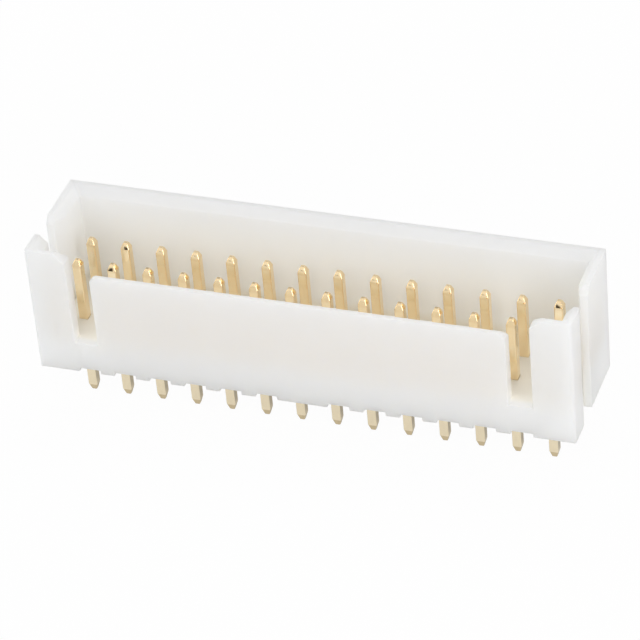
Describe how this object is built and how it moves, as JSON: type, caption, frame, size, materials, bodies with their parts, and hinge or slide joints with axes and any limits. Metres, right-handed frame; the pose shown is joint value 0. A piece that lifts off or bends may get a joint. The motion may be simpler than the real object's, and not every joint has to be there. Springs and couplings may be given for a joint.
{
  "type": "rectangular connector",
  "caption": "Shrouded rectangular board connector: a white moulded housing with latch slots and end key slots around rows of square gold pins whose solder tails stand out below.",
  "frame": {"origin": "centre of the pin grid, on the board's upper face, where the standoff ribs rest", "axes": "+X along the rows, +Y from the slotted front wall towards the back wall, +Z away from the board, the way the plug comes off"},
  "size_m": [0.0298, 0.0068, 0.0106],
  "materials": {
    "housing": "natural white nylon with a soft satin skin",
    "pins": "bright gold plating over drawn square wire"
  },
  "bodies": {
    "root": {"housing": "housing", "front_pin_01": "pins", "front_pin_02": "pins", "front_pin_03": "pins", "front_pin_04": "pins", "front_pin_05": "pins", "front_pin_06": "pins", "front_pin_07": "pins", "front_pin_08": "pins", "front_pin_09": "pins", "front_pin_10": "pins", "front_pin_11": "pins", "front_pin_12": "pins", "front_pin_13": "pins", "front_pin_14": "pins", "rear_pin_01": "pins", "rear_pin_02": "pins", "rear_pin_03": "pins", "rear_pin_04": "pins", "rear_pin_05": "pins", "rear_pin_06": "pins", "rear_pin_07": "pins", "rear_pin_08": "pins", "rear_pin_09": "pins", "rear_pin_10": "pins", "rear_pin_11": "pins", "rear_pin_12": "pins", "rear_pin_13": "pins", "rear_pin_14": "pins"}
  },
  "joints": []
}
